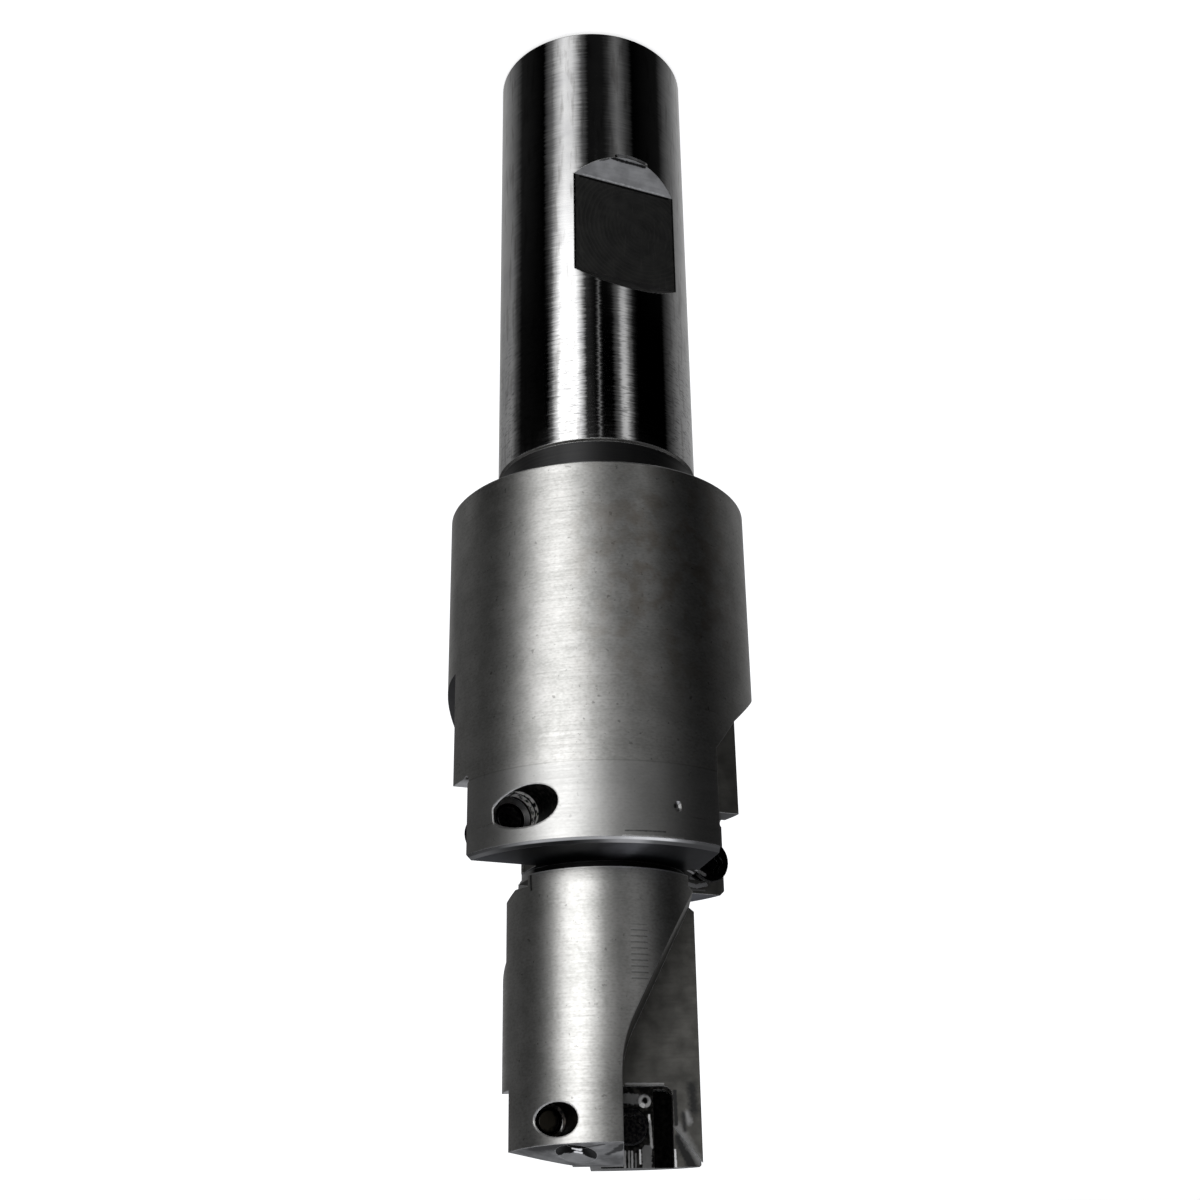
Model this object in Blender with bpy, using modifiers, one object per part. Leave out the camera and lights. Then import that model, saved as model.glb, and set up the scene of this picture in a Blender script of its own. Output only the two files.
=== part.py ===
"""Indexable step drill: a one-piece tool body with four empty insert pockets and their clamp screws.

Metres, +Z up. The tool stands on the end of its shank, its axis on Z and its point upwards.
The origin is the centre of the shank's end face.
Cutting stations are described in a frame of their own: +X runs outwards along the rake face,
+Y points the way the edge cuts, and Z is the tool's axis.
"""
import math

import bmesh
import bpy
from mathutils import Matrix, Vector

MM = 0.001

# Shank: ground cylinder with one clamping flat, and the unground neck above it
SHANK_D = 20.0 * MM
SHANK_LENGTH = 50.0 * MM
SHANK_CHAMFER = 0.3 * MM
NECK_D = 19.6 * MM
NECK_LENGTH = 4.6 * MM
FLAT_ACROSS = 18.2 * MM
FLAT_LENGTH = 11.7 * MM
FLAT_CENTRE_Z = 24.35 * MM
FLAT_RUN_OUT = 2.2 * MM
FLAT_ANGLE = math.radians(246.0)

# Step body, the collar that carries the two step stations
BODY_D = 29.2 * MM
BODY_LENGTH = 35.8 * MM
SHOULDER_CHAMFER = 0.15 * MM
STEP_CHAMFER = 0.45 * MM

# Pilot, the slim front of the tool, with its two drilling stations
PILOT_D = 18.14 * MM
PILOT_LENGTH = 25.0 * MM
ROOT_GROOVE_D = 15.3 * MM
ROOT_GROOVE_WIDTH = 0.8 * MM
PILOT_CHAMFER = 0.15 * MM

# Clearance ground on the outer land's end: it falls to the rim, and away from the cutting edge
END_RELIEF_DROP = 1.52 * MM
END_RELIEF_SLOPE = math.radians(14.0)
END_RELIEF_TILT = math.radians(4.5)

# Chip gullets of the step stations; the first one's side wall runs square to the pilot's rake faces
STEP_ANGLE = math.radians(-23.35)
GULLET_DEPTH = 6.6 * MM
GULLET_WALL_LEANS = (math.radians(23.35), math.radians(11.2))
GULLET_LENGTH = 18.2 * MM
GULLET_SLOPE = math.radians(41.0)
GULLET_CORNER_RISE = 1.2
GULLET_PAST_STEP = 0.5 * MM

# Pockets for the step inserts
STEP_SEAT_DEPTH = 3.1 * MM
STEP_POCKET_WIDTH = 6.9 * MM
STEP_POCKET_LENGTH = 7.4 * MM
STEP_POCKET_PAST_STEP = 1.9 * MM
STEP_POCKET_TOP_Y = 6.0 * MM
SEAT_RELIEF_R = 0.4 * MM

# Notches that clear the step inserts at the pilot's root, as deep as its groove
NOTCH_HEIGHT = 1.8 * MM
NOTCH_RISE = 0.85

# Chip flutes of the pilot
PILOT_ANGLE = 0.0
FLUTE_WALL_X = 1.45 * MM
FLUTE_FLOOR_DEPTH = 3.1 * MM
FLUTE_SLOPE = math.radians(63.5)
FLUTE_CORNER_R = 11.0 * MM
FLUTE_EDGE_INSET = 0.97 * MM
FLUTE_EDGE_RISE = 2.1 * MM

# Backing rib behind the outer drilling station, level with its rake face
OUTER_FLOOR_DEPTH = 2.75 * MM
RIB_DEPTH = 0.4 * MM
RIB_START = 17.1 * MM
RIB_RAMP = 1.6 * MM

# Pockets for the outer and the centre insert of the pilot
OUTER_SEAT_DEPTH = 3.7 * MM
OUTER_POCKET_WIDTH = 6.17 * MM
OUTER_POCKET_LENGTH = 6.1 * MM
CENTRE_SEAT_DEPTH = 3.6 * MM
CENTRE_POCKET_X = -0.5 * MM
CENTRE_POCKET_WIDTH = 6.5 * MM
CENTRE_POCKET_TOP_Y = -0.4 * MM
CENTRE_POCKET_LENGTH = 6.9 * MM
CENTRE_POCKET_CORNER_R = 0.9 * MM
CENTRE_GROOVE_WIDTH = 1.75 * MM
CENTRE_GROOVE_DEPTH = 1.0 * MM
CENTRE_GROOVE_START = 0.3 * MM
CORNER_RELIEF_D = 1.2 * MM
CORNER_RELIEF_DEPTH = 0.6 * MM
CORNER_RELIEF_X = 3.5 * MM
CORNER_RELIEF_BELOW = 5.66 * MM

# Facet milled across the centre land's end, outside the pocket
FACET_SLOPE = math.radians(51.8)
FACET_DEPTH = 0.35 * MM
FACET_LENGTH = 3.9 * MM

# Clamp screws: thread, head, six-lobe socket
STEP_THREAD_D = 2.6 * MM
STEP_HEAD_D = 4.0 * MM
STEP_SCREW_LENGTH = 3.0 * MM
STEP_SCREW_INSET = 2.95 * MM
STEP_SCREW_BELOW = 2.95 * MM
STEP_EXIT_D = 3.6 * MM
STEP_EXIT_DEPTH = 3.4 * MM
PILOT_THREAD_D = 2.1 * MM
PILOT_HEAD_D = 3.2 * MM
PILOT_SCREW_LENGTH = 2.4 * MM
OUTER_SCREW_INSET = 3.5 * MM
CENTRE_SCREW_X = 2.15 * MM
PILOT_SCREW_BELOW = 3.4 * MM
PILOT_EXIT_D = 2.75 * MM
PILOT_EXIT_DEPTH = 2.7 * MM
PILOT_SCREW_TILT = math.radians(19.9)
STEP_SCREW_TILT = math.radians(6.0)
STEP_SCREW_RISE = math.radians(5.3)
HEAD_STAND_OFF = 0.6 * MM
HEAD_RIM = 0.35 * MM
HEAD_CONE_HALF_ANGLE = math.radians(30.0)
SCREW_EDGE = 0.1 * MM
SOCKET_SHARE_OF_HEAD = 0.29
SOCKET_LOBES = 6
LOBE_SHARE_OF_SOCKET = 0.13
SOCKET_DEPTH = 0.85 * MM
SCREW_CLEARANCE = 0.08 * MM
MOUTH_CHAMFER = 0.15 * MM
DRILL_POINT_SHARE = 0.6

# Coolant: one bore up the shank, and a channel to the near land of the point
COOLANT_BORE_D = 5.0 * MM
COOLANT_BORE_BELOW_STEP = 18.4 * MM
COOLANT_CHANNEL_D = 2.0 * MM
COOLANT_MOUTH_D = 3.0 * MM
COOLANT_MOUTH_X = 2.65 * MM
COOLANT_MOUTH_INSET = 2.07 * MM
COOLANT_BEND_X = 0.5 * MM
COOLANT_BEND_Y = -2.3 * MM
COOLANT_BEND_BELOW = 7.0 * MM
COOLANT_OVERLAP = 4.0 * MM

# Cutters run this far past the surface they open, and neighbours are set off by the stagger
OVERLAP = 0.3 * MM
STAGGER = 0.05 * MM

# Colours of the metals, their roughness and metallic value
BODY_METAL = ((0.36, 0.36, 0.35), 0.38, 1.0)
SCREW_METAL = ((0.06, 0.06, 0.065), 0.35, 1.0)

# Facets
ROUND_STEPS = 128
HOLE_STEPS = 32
SCREW_STEPS = 32
ARC_STEPS = 6
LOBE_POINTS = 36

# Worked-out heights and radii
SHOULDER_Z = SHANK_LENGTH + NECK_LENGTH
STEP_Z = SHOULDER_Z + BODY_LENGTH
TIP_Z = STEP_Z + PILOT_LENGTH
BODY_R = BODY_D / 2
PILOT_R = PILOT_D / 2
BEYOND = BODY_R + 3.0 * MM
PAST_TIP = TIP_Z + 3.0 * MM
GROOVE_R = ROOT_GROOVE_D / 2
GROOVE_Z = STEP_Z + ROOT_GROOVE_WIDTH
MID_GROOVE_Z = STEP_Z + ROOT_GROOVE_WIDTH / 2
GULLET_WALL_X = BODY_R - GULLET_DEPTH
GULLET_MOUTH_Z = STEP_Z - GULLET_LENGTH
STEP_POCKET_X = BODY_R - STEP_POCKET_WIDTH
STEP_POCKET_Z = STEP_Z - STEP_POCKET_LENGTH
FLUTE_EDGE_X = PILOT_R - FLUTE_EDGE_INSET
FLUTE_EDGE_Z = STEP_Z + FLUTE_EDGE_RISE
OUTER_POCKET_X = PILOT_R - OUTER_POCKET_WIDTH
OUTER_POCKET_Z = TIP_Z - OUTER_POCKET_LENGTH
CENTRE_POCKET_Z = TIP_Z - CENTRE_POCKET_LENGTH
CENTRE_POCKET_EDGE = CENTRE_POCKET_X + CENTRE_POCKET_WIDTH
STEP_SCREW_X = BODY_R - STEP_SCREW_INSET
OUTER_SCREW_X = PILOT_R - OUTER_SCREW_INSET
COOLANT_BORE_TOP = STEP_Z - COOLANT_BORE_BELOW_STEP
COOLANT_MOUTH_Y = COOLANT_MOUTH_INSET - PILOT_R


def clear_scene():
    """Empties the scene of its objects."""
    for item in list(bpy.data.objects):
        bpy.data.objects.remove(item, do_unlink=True)


def make_collection(name):
    """A new collection linked to the scene."""
    group = bpy.data.collections.new(name)
    bpy.context.scene.collection.children.link(group)
    return group


def make_material(name, metal):
    """A Principled material from a metal's colour, roughness and metallic value."""
    colour, roughness, metallic = metal
    material = bpy.data.materials.new(name)
    material.use_nodes = True
    shader = material.node_tree.nodes["Principled BSDF"]
    shader.inputs["Base Color"].default_value = (*colour, 1.0)
    shader.inputs["Roughness"].default_value = roughness
    shader.inputs["Metallic"].default_value = metallic
    return material


def add_object(name, mesh, group):
    """An object for a mesh, linked to one collection."""
    item = bpy.data.objects.new(name, mesh)
    group.objects.link(item)
    return item


def finish_mesh(name, bm):
    """Writes a bmesh to a new mesh with its faces pointing out."""
    bmesh.ops.recalc_face_normals(bm, faces=bm.faces[:])
    mesh = bpy.data.meshes.new(name)
    bm.to_mesh(mesh)
    bm.free()
    return mesh


def turned(name, profile, steps, group):
    """Turns a profile of (radius, height) points about Z; it runs down the outer side, top to bottom."""
    mesh = bpy.data.meshes.new(name)
    points = [(radius, 0.0, height) for radius, height in profile]
    edges = [(index, index + 1) for index in range(len(points) - 1)]
    mesh.from_pydata(points, edges, [])
    item = add_object(name, mesh, group)
    screw = item.modifiers.new("turn", "SCREW")
    screw.axis = "Z"
    screw.angle = math.tau
    screw.steps = steps
    screw.render_steps = steps
    screw.use_smooth_shade = True
    screw.use_merge_vertices = True
    screw.merge_threshold = 0.00001
    return item


def hide_cutter(item):
    """Marks an object as a cutter."""
    item.hide_render = True
    item.display_type = "WIRE"
    return item


def prism(name, outline, low, high, to_world, group):
    """Extrudes an outline, given in a plane's own X and Y, along that plane's Z from low to high."""
    bm = bmesh.new()
    corners = [bm.verts.new((x, y, low)) for x, y in outline]
    base = bm.faces.new(corners)
    grown = bmesh.ops.extrude_face_region(bm, geom=[base])
    moved = [part for part in grown["geom"] if isinstance(part, bmesh.types.BMVert)]
    bmesh.ops.translate(bm, verts=moved, vec=(0.0, 0.0, high - low))
    bmesh.ops.transform(bm, matrix=to_world, verts=bm.verts[:])
    return hide_cutter(add_object(name, finish_mesh(name, bm), group))


def block(name, low, high, to_world, group):
    """A box between two corners of a station's frame."""
    outline = [(low[0], low[1]), (high[0], low[1]), (high[0], high[1]), (low[0], high[1])]
    return prism(name, outline, low[2], high[2], to_world, group)


def round_cutter(name, profile, to_world, group):
    """A turned cutter placed in the world; its profile is (radius, height) from top to bottom."""
    item = turned(name, profile, HOLE_STEPS, group)
    item.matrix_world = to_world
    return hide_cutter(item)


def station(angle):
    """A cutting station's frame, turned about the tool's axis."""
    return Matrix.Rotation(angle, 4, "Z")


def side_view(angle):
    """Maps an outline drawn in a station's X and Z, extruded along the station's Y."""
    upright = Matrix(((1, 0, 0, 0), (0, 0, 1, 0), (0, 1, 0, 0), (0, 0, 0, 1)))
    return station(angle) @ upright


def edge_view(angle):
    """Maps an outline drawn in a station's Y and Z, extruded along the station's X."""
    lengthwise = Matrix(((0, 0, 1, 0), (1, 0, 0, 0), (0, 1, 0, 0), (0, 0, 0, 1)))
    return station(angle) @ lengthwise


def rounded_corner(before, corner, after, radius):
    """Points of an arc that rounds one corner of an outline."""
    start = Vector(before) - Vector(corner)
    end = Vector(after) - Vector(corner)
    start.normalize()
    end.normalize()
    half = start.angle(end) / 2
    centre = Vector(corner) + (start + end).normalized() * radius / math.sin(half)
    first = Vector(corner) + start * radius / math.tan(half) - centre
    last = Vector(corner) + end * radius / math.tan(half) - centre
    points = []
    for index in range(ARC_STEPS + 1):
        share = index / ARC_STEPS
        arm = first.lerp(last, share).normalized() * radius
        points.append(tuple(centre + arm))
    return points


def seat_frame(angle, x, y, z, tilt, rise=0.0):
    """A frame on an insert seat: +Z leaves it along the clamp screw, leaning outwards and to the point."""
    out_of_seat = Vector((math.tan(tilt), 1.0, math.tan(rise))).normalized()
    sideways = Vector((0.0, 0.0, 1.0)).cross(out_of_seat).normalized()
    upwards = out_of_seat.cross(sideways)
    turn = Matrix((sideways, upwards, out_of_seat)).transposed().to_4x4()
    turn.translation = Vector((x, y, z))
    return station(angle) @ turn


def shaft_profile():
    """The turned outline of the tool, from its point down to the shank's end and up the coolant bore."""
    shank_r = SHANK_D / 2
    neck_r = NECK_D / 2
    bore_r = COOLANT_BORE_D / 2
    return [
        (0.0, TIP_Z),
        (PILOT_R - PILOT_CHAMFER, TIP_Z),
        (PILOT_R, TIP_Z - PILOT_CHAMFER),
        (PILOT_R, GROOVE_Z + PILOT_CHAMFER),
        (PILOT_R - PILOT_CHAMFER, GROOVE_Z),
        (GROOVE_R, GROOVE_Z),
        (GROOVE_R, STEP_Z),
        (BODY_R - STEP_CHAMFER, STEP_Z),
        (BODY_R, STEP_Z - STEP_CHAMFER),
        (BODY_R, SHOULDER_Z + SHOULDER_CHAMFER),
        (BODY_R - SHOULDER_CHAMFER, SHOULDER_Z),
        (neck_r, SHOULDER_Z),
        (neck_r, SHANK_LENGTH),
        (shank_r, SHANK_LENGTH - (shank_r - neck_r)),
        (shank_r, SHANK_CHAMFER),
        (shank_r - SHANK_CHAMFER, 0.0),
        (bore_r + MOUTH_CHAMFER, 0.0),
        (bore_r, MOUTH_CHAMFER),
        (bore_r, COOLANT_BORE_TOP),
        (0.0, COOLANT_BORE_TOP + bore_r * DRILL_POINT_SHARE),
    ]


def cut_clamping_flat(group):
    """The cutter of the shank's clamping flat, with a sloping run-out at both ends."""
    floor = FLAT_ACROSS - SHANK_D / 2
    rise = BEYOND - floor
    spread = rise * FLAT_RUN_OUT / (SHANK_D / 2 - floor)
    low = FLAT_CENTRE_Z - FLAT_LENGTH / 2
    high = FLAT_CENTRE_Z + FLAT_LENGTH / 2
    outline = [(floor, low), (BEYOND, low - spread), (BEYOND, high + spread), (floor, high)]
    return [prism("cut_clamping_flat", outline, -SHANK_D, SHANK_D, side_view(FLAT_ANGLE), group)]


def common(name, first, second):
    """Trims one cutter to the space it shares with another."""
    trim = first.modifiers.new(name, "BOOLEAN")
    trim.operation = "INTERSECT"
    trim.object = second
    trim.solver = "EXACT"
    return first


def cut_gullet(number, angle, group):
    """The chip gullet in front of one step station: a leaning side wall, and a sloping run-out."""
    wall = GULLET_WALL_X
    lean = math.tan(GULLET_WALL_LEANS[number - 1])
    end = STEP_Z + GULLET_PAST_STEP
    slope = math.tan(GULLET_SLOPE)
    section = [(wall, 0.0), (BEYOND, 0.0), (BEYOND, BEYOND), (wall - BEYOND * lean, BEYOND)]
    gullet = prism(f"cut_gullet_{number}", section, SHOULDER_Z, end, station(angle), group)
    outer = 2 * BEYOND
    inner = wall - BEYOND * lean - MM
    outline = [
        (inner, end + MM),
        (outer, end + MM),
        (outer, GULLET_MOUTH_Z - (outer - BODY_R) * slope),
        (wall, GULLET_MOUTH_Z + (BODY_R - wall) * slope),
        (inner, GULLET_MOUTH_Z + (BODY_R - wall) * slope + (wall - inner) * GULLET_CORNER_RISE),
    ]
    run_out = prism(f"cut_run_out_{number}", outline, -MM, BEYOND + MM, side_view(angle), group)
    return common("run_out", gullet, run_out)


def cut_step_pocket(number, angle, group):
    """The pocket of one step insert, with a relief along the seat's closed end."""
    frame = station(angle)
    seat = -STEP_SEAT_DEPTH
    low = (STEP_POCKET_X, seat, STEP_POCKET_Z)
    pocket = block(f"cut_step_pocket_{number}", low, (BEYOND, OVERLAP, STEP_Z + OVERLAP), frame, group)
    low = (STEP_POCKET_X + STAGGER, seat - STAGGER, STEP_Z + OVERLAP / 2)
    high = (BEYOND, STEP_POCKET_TOP_Y, STEP_Z + STEP_POCKET_PAST_STEP)
    over = block(f"cut_step_clearance_{number}", low, high, frame, group)
    along = Matrix.Translation((0.0, seat + SEAT_RELIEF_R / 2, STEP_POCKET_Z + SEAT_RELIEF_R / 2))
    across = Matrix.Rotation(math.pi / 2, 4, "Y")
    start = STEP_POCKET_X + SEAT_RELIEF_R / 2
    profile = [(0.0, BEYOND), (SEAT_RELIEF_R, BEYOND), (SEAT_RELIEF_R, start), (0.0, start)]
    relief = round_cutter(f"cut_step_relief_{number}", profile, frame @ along @ across, group)
    return [pocket, over, relief]


def cut_notch(number, angle, group):
    """The notch beside one step pocket at the pilot's root."""
    top = STEP_Z + NOTCH_HEIGHT
    outer_top = top + (BEYOND - GROOVE_R) * NOTCH_RISE
    outline = [(GROOVE_R, MID_GROOVE_Z), (BEYOND, MID_GROOVE_Z), (BEYOND, outer_top), (GROOVE_R, top)]
    return prism(f"cut_notch_{number}", outline, -PILOT_R, PILOT_R, side_view(angle), group)


def flute_outline():
    """A pilot flute seen along its station's Y: straight wall, curved corner and sloping run-out."""
    wall = FLUTE_WALL_X
    slope = math.tan(FLUTE_SLOPE)
    mouth = (FLUTE_EDGE_X + (FLUTE_EDGE_Z - MID_GROOVE_Z) / slope, MID_GROOVE_Z)
    corner = (wall, FLUTE_EDGE_Z + (FLUTE_EDGE_X - wall) * slope)
    outline = [(wall, PAST_TIP), (BEYOND, PAST_TIP), (BEYOND, MID_GROOVE_Z), mouth]
    outline += rounded_corner(mouth, corner, (wall, PAST_TIP), FLUTE_CORNER_R)
    return outline


def cut_flutes(group):
    """The two pilot flutes; the outer station keeps a rib behind its pocket at the rake face's level."""
    outline = flute_outline()
    centre = PILOT_ANGLE + math.pi
    flutes = [prism("cut_centre_flute", outline, -FLUTE_FLOOR_DEPTH, BEYOND, side_view(centre), group)]
    outer = prism("cut_outer_flute", outline, -BEYOND, BEYOND, side_view(PILOT_ANGLE), group)
    rib_z = TIP_Z - RIB_START
    face = [
        (BODY_R, PAST_TIP + MM),
        (-RIB_DEPTH, PAST_TIP + MM),
        (-RIB_DEPTH, rib_z + RIB_RAMP),
        (-OUTER_FLOOR_DEPTH, rib_z),
        (-OUTER_FLOOR_DEPTH, STEP_Z),
        (BODY_R, STEP_Z),
    ]
    front = prism("cut_outer_face", face, 0.0, BEYOND + MM, edge_view(PILOT_ANGLE), group)
    flutes.append(common("face", outer, front))
    return flutes


def open_pocket(name, left, right, closed, floor, top, group):
    """A pocket of the centre station, open at the point, with its outer corner rounded."""
    corner = (right, closed)
    outline = [(right, PAST_TIP), (left, PAST_TIP), (left, closed)]
    outline += rounded_corner((left, closed), corner, (right, PAST_TIP), CENTRE_POCKET_CORNER_R)
    return prism(name, outline, floor, top, side_view(PILOT_ANGLE + math.pi), group)


def cut_pilot_pockets(group):
    """The pocket of the outer insert; that of the centre insert, its side groove and corner relief."""
    low = (OUTER_POCKET_X, -OUTER_SEAT_DEPTH, OUTER_POCKET_Z)
    cutters = [block("cut_outer_pocket", low, (BEYOND, 0.0, PAST_TIP), station(PILOT_ANGLE), group)]
    seat = -CENTRE_SEAT_DEPTH
    edge = CENTRE_POCKET_EDGE
    place = (CENTRE_POCKET_X, edge, CENTRE_POCKET_Z, seat, CENTRE_POCKET_TOP_Y)
    cutters.append(open_pocket("cut_centre_pocket", *place, group))
    start = CENTRE_POCKET_Z + CENTRE_GROOVE_START
    place = (edge - CENTRE_GROOVE_WIDTH, edge - STAGGER, start, seat - CENTRE_GROOVE_DEPTH, seat + MM)
    cutters.append(open_pocket("cut_centre_groove", *place, group))
    radius = CORNER_RELIEF_D / 2
    profile = [(0.0, MM), (radius, MM), (radius, -CORNER_RELIEF_DEPTH), (0.0, -CORNER_RELIEF_DEPTH)]
    corner_z = TIP_Z - CORNER_RELIEF_BELOW
    frame = seat_frame(PILOT_ANGLE + math.pi, CORNER_RELIEF_X, seat, corner_z, 0.0)
    cutters.append(round_cutter("cut_corner_relief", profile, frame, group))
    return cutters


def cut_centre_facet(group):
    """The facet across the end of the centre station's land, from the pocket's edge out to its rim."""
    left = CENTRE_POCKET_EDGE - OVERLAP
    low = TIP_Z - FACET_LENGTH
    run = (PAST_TIP - low) / math.tan(FACET_SLOPE)
    outline = [(left, low), (left + run, PAST_TIP), (left, PAST_TIP)]
    floor = -FLUTE_FLOOR_DEPTH - FACET_DEPTH
    return prism("cut_centre_facet", outline, floor, 0.0, side_view(PILOT_ANGLE + math.pi), group)


def cut_screw_hole(name, frame, thread_d, exit_d, exit_depth, through, group):
    """A clamp screw's hole: countersunk mouth on the seat, thread, and the wider bore out of the land."""
    thread_r = thread_d / 2 + SCREW_CLEARANCE
    exit_r = exit_d / 2
    point = (exit_r - thread_r) * DRILL_POINT_SHARE
    profile = [
        (0.0, HEAD_STAND_OFF),
        (thread_r + MOUTH_CHAMFER + HEAD_STAND_OFF, HEAD_STAND_OFF),
        (thread_r, -MOUTH_CHAMFER),
        (thread_r, -exit_depth + point),
        (exit_r, -exit_depth),
        (exit_r, -through),
        (0.0, -through),
    ]
    return round_cutter(name, profile, frame, group)


def between(name, start, end, radius, group):
    """A round cutter along a straight line."""
    along = end - start
    turn = Vector((0.0, 0.0, 1.0)).rotation_difference(along).to_matrix().to_4x4()
    turn.translation = start
    profile = [(0.0, along.length), (radius, along.length), (radius, 0.0), (0.0, 0.0)]
    return round_cutter(name, profile, turn, group)


def cut_coolant(group):
    """The channel from the shank's bore through the pilot's web, and its outlet in the outer land's end."""
    channel_r = COOLANT_CHANNEL_D / 2
    mouth_r = COOLANT_MOUTH_D / 2
    mouth_drop = (PILOT_R - math.hypot(COOLANT_MOUTH_X, COOLANT_MOUTH_Y)) * math.tan(END_RELIEF_SLOPE)
    mouth = Vector((COOLANT_MOUTH_X, COOLANT_MOUTH_Y, TIP_Z - END_RELIEF_DROP + mouth_drop))
    bend = Vector((COOLANT_BEND_X, COOLANT_BEND_Y, TIP_Z - COOLANT_BEND_BELOW))
    foot = Vector((0.0, 0.0, COOLANT_BORE_TOP - COOLANT_OVERLAP))
    slant = (mouth - bend).normalized()
    outlet = between("cut_coolant_outlet", bend, mouth + slant * COOLANT_OVERLAP, channel_r, group)
    turn = station(PILOT_ANGLE) @ Matrix.Translation(mouth)
    flare = mouth_r - channel_r
    profile = [(0.0, MM), (mouth_r + MM, MM), (channel_r, -flare), (0.0, -flare)]
    outlet_mouth = round_cutter("cut_coolant_mouth", profile, turn, group)
    up_end = bend + (bend - foot).normalized() * channel_r
    channel = between("cut_coolant_channel", foot, up_end, channel_r, group)
    return [channel, outlet, outlet_mouth]


def cut_end_relief(group):
    """The clearance on the end of the outer land: a cone that tips away from the cutting edge."""
    fall = math.tan(END_RELIEF_SLOPE)
    apex = PILOT_R * fall
    top = apex + 2 * MM
    profile = [(0.0, top), (BEYOND, top), (BEYOND, apex - BEYOND * fall), (0.0, apex)]
    rim = Matrix.Translation((0.0, -PILOT_R, TIP_Z - END_RELIEF_DROP))
    tip = rim @ Matrix.Rotation(END_RELIEF_TILT, 4, "X") @ Matrix.Translation((0.0, PILOT_R, 0.0))
    relief = round_cutter("cut_end_relief", profile, station(PILOT_ANGLE) @ tip, group)
    low = (-BEYOND, -BEYOND, TIP_Z - BEYOND)
    near = block("cut_outer_end", low, (BEYOND, 0.0, PAST_TIP), station(PILOT_ANGLE), group)
    return common("near_side", relief, near)


def screw_places():
    """Every clamp screw: name, frame on its seat, thread, head, length, exit bore, exit depth, through."""
    step_z = STEP_Z - STEP_SCREW_BELOW
    pilot_z = TIP_Z - PILOT_SCREW_BELOW
    places = []
    for number in (1, 2):
        angle = STEP_ANGLE + math.pi * (number - 1)
        frame = seat_frame(angle, STEP_SCREW_X, -STEP_SEAT_DEPTH, step_z, STEP_SCREW_TILT, STEP_SCREW_RISE)
        size = (STEP_THREAD_D, STEP_HEAD_D, STEP_SCREW_LENGTH, STEP_EXIT_D, STEP_EXIT_DEPTH)
        places.append((f"step_clamp_screw_{number}", frame, *size, BODY_R))
    size = (PILOT_THREAD_D, PILOT_HEAD_D, PILOT_SCREW_LENGTH, PILOT_EXIT_D, PILOT_EXIT_DEPTH)
    outer = seat_frame(PILOT_ANGLE, OUTER_SCREW_X, -OUTER_SEAT_DEPTH, pilot_z, PILOT_SCREW_TILT)
    places.append(("outer_clamp_screw", outer, *size, PILOT_R))
    centre = seat_frame(PILOT_ANGLE + math.pi, CENTRE_SCREW_X, -CENTRE_SEAT_DEPTH, pilot_z, 0.0)
    places.append(("centre_clamp_screw", centre, *size, PILOT_R))
    return places


def make_body(parts, cutters):
    """The one-piece tool body."""
    body = turned("drill_body", shaft_profile(), ROUND_STEPS, parts)
    body.data.materials.append(make_material("tool_steel", BODY_METAL))
    tools = cut_clamping_flat(cutters)
    for number in (1, 2):
        angle = STEP_ANGLE + math.pi * (number - 1)
        tools.append(cut_gullet(number, angle, cutters))
        tools += cut_step_pocket(number, angle, cutters)
        tools.append(cut_notch(number, PILOT_ANGLE + math.pi * (number - 1), cutters))
    tools += cut_flutes(cutters)
    tools += cut_pilot_pockets(cutters)
    tools.append(cut_centre_facet(cutters))
    for name, frame, thread_d, _, _, exit_d, exit_depth, through in screw_places():
        tools.append(cut_screw_hole(f"cut_{name}", frame, thread_d, exit_d, exit_depth, through, cutters))
    tools.append(cut_end_relief(cutters))
    tools += cut_coolant(cutters)
    for tool in tools:
        cut = body.modifiers.new(tool.name, "BOOLEAN")
        cut.operation = "DIFFERENCE"
        cut.object = tool
        cut.solver = "EXACT"


def make_socket(name, head_d, top, group):
    """The cutter of a six-lobe socket in a screw's head."""
    mean_r = head_d * SOCKET_SHARE_OF_HEAD
    outline = []
    for index in range(LOBE_POINTS):
        turn = math.tau * index / LOBE_POINTS
        radius = mean_r * (1.0 + LOBE_SHARE_OF_SOCKET * math.cos(SOCKET_LOBES * turn))
        outline.append((radius * math.cos(turn), radius * math.sin(turn)))
    return prism(name, outline, top - SOCKET_DEPTH, top + MM, Matrix.Identity(4), group)


def make_screw(name, frame, thread_d, head_d, length, parts, cutters):
    """A countersunk clamp screw run down until its head meets the mouth of its hole."""
    thread_r = thread_d / 2
    head_r = head_d / 2
    cone = HEAD_STAND_OFF + (head_r - thread_r) / math.tan(HEAD_CONE_HALF_ANGLE)
    rim = cone + HEAD_RIM
    profile = [
        (0.0, rim),
        (head_r - SCREW_EDGE, rim),
        (head_r, rim - SCREW_EDGE),
        (head_r, cone),
        (thread_r, HEAD_STAND_OFF),
        (thread_r, -length + 2 * SCREW_EDGE),
        (thread_r - 2 * SCREW_EDGE, -length),
        (0.0, -length),
    ]
    screw = turned(name, profile, SCREW_STEPS, parts)
    screw.data.materials.append(make_material(f"{name}_steel", SCREW_METAL))
    socket = make_socket(f"cut_{name}_socket", head_d, rim, cutters)
    socket.matrix_world = frame
    screw.matrix_world = frame
    cut = screw.modifiers.new("socket", "BOOLEAN")
    cut.operation = "DIFFERENCE"
    cut.object = socket
    cut.solver = "EXACT"


def main():
    """Builds the tool."""
    clear_scene()
    parts = make_collection("indexable_drill")
    cutters = make_collection("cutters")
    make_body(parts, cutters)
    for name, frame, thread_d, head_d, length, _, _, _ in screw_places():
        make_screw(name, frame, thread_d, head_d, length, parts, cutters)


main()
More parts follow.
